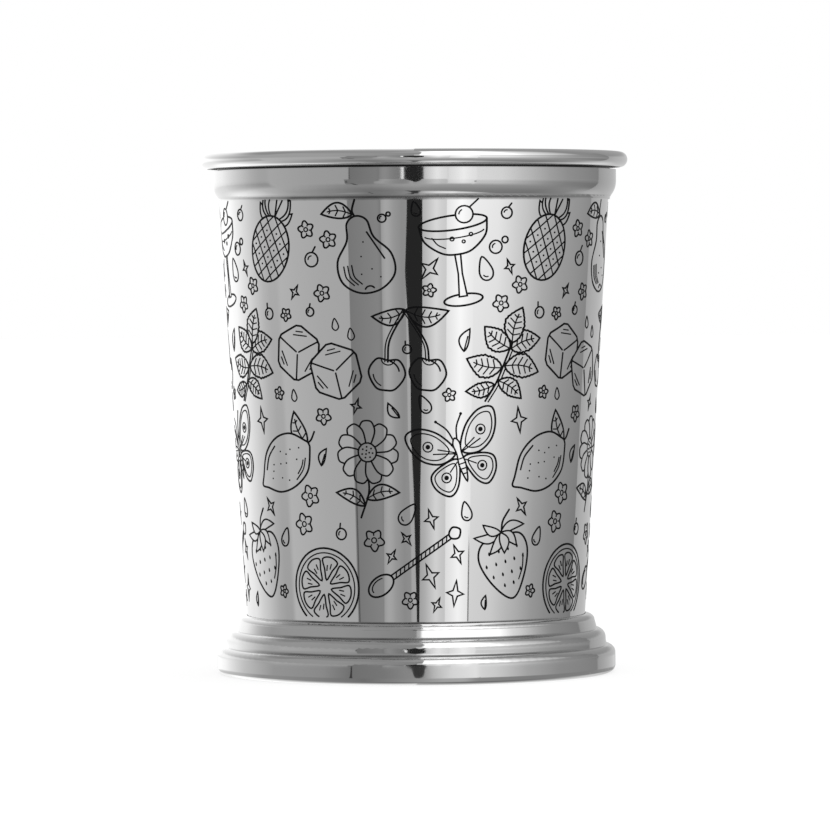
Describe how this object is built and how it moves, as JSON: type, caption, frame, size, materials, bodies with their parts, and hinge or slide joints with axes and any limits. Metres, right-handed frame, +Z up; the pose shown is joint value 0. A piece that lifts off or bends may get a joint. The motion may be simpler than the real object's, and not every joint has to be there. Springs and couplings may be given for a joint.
{
  "type": "julep cup",
  "caption": "Tapered metal drinking cup with a rolled lip, a moulded collar under it and a hollow stepped foot ring. It holds a mixed drink.",
  "frame": {"origin": "centre of the flat ring that the cup stands on", "axes": "+Z up along the cup's axis; the cup is a body of revolution, so +X and +Y are any two directions square to it"},
  "size_m": [0.0864, 0.0864, 0.105],
  "materials": {
    "polished_steel": "stainless steel polished to a mirror, with fine polishing marks",
    "satin_steel": "stainless steel turned to a satin finish in fine rings",
    "braze": "silver brazing alloy, cleaned but not polished",
    "ink": "black screen-printed enamel ink in fine lines"
  },
  "bodies": {
    "root": {"cup_body": "polished_steel", "rim_collar": "polished_steel", "rim_braze": "braze", "foot_ring": "polished_steel", "foot_braze": "braze", "base_plate": "satin_steel", "base_braze": "braze"}
  },
  "joints": []
}
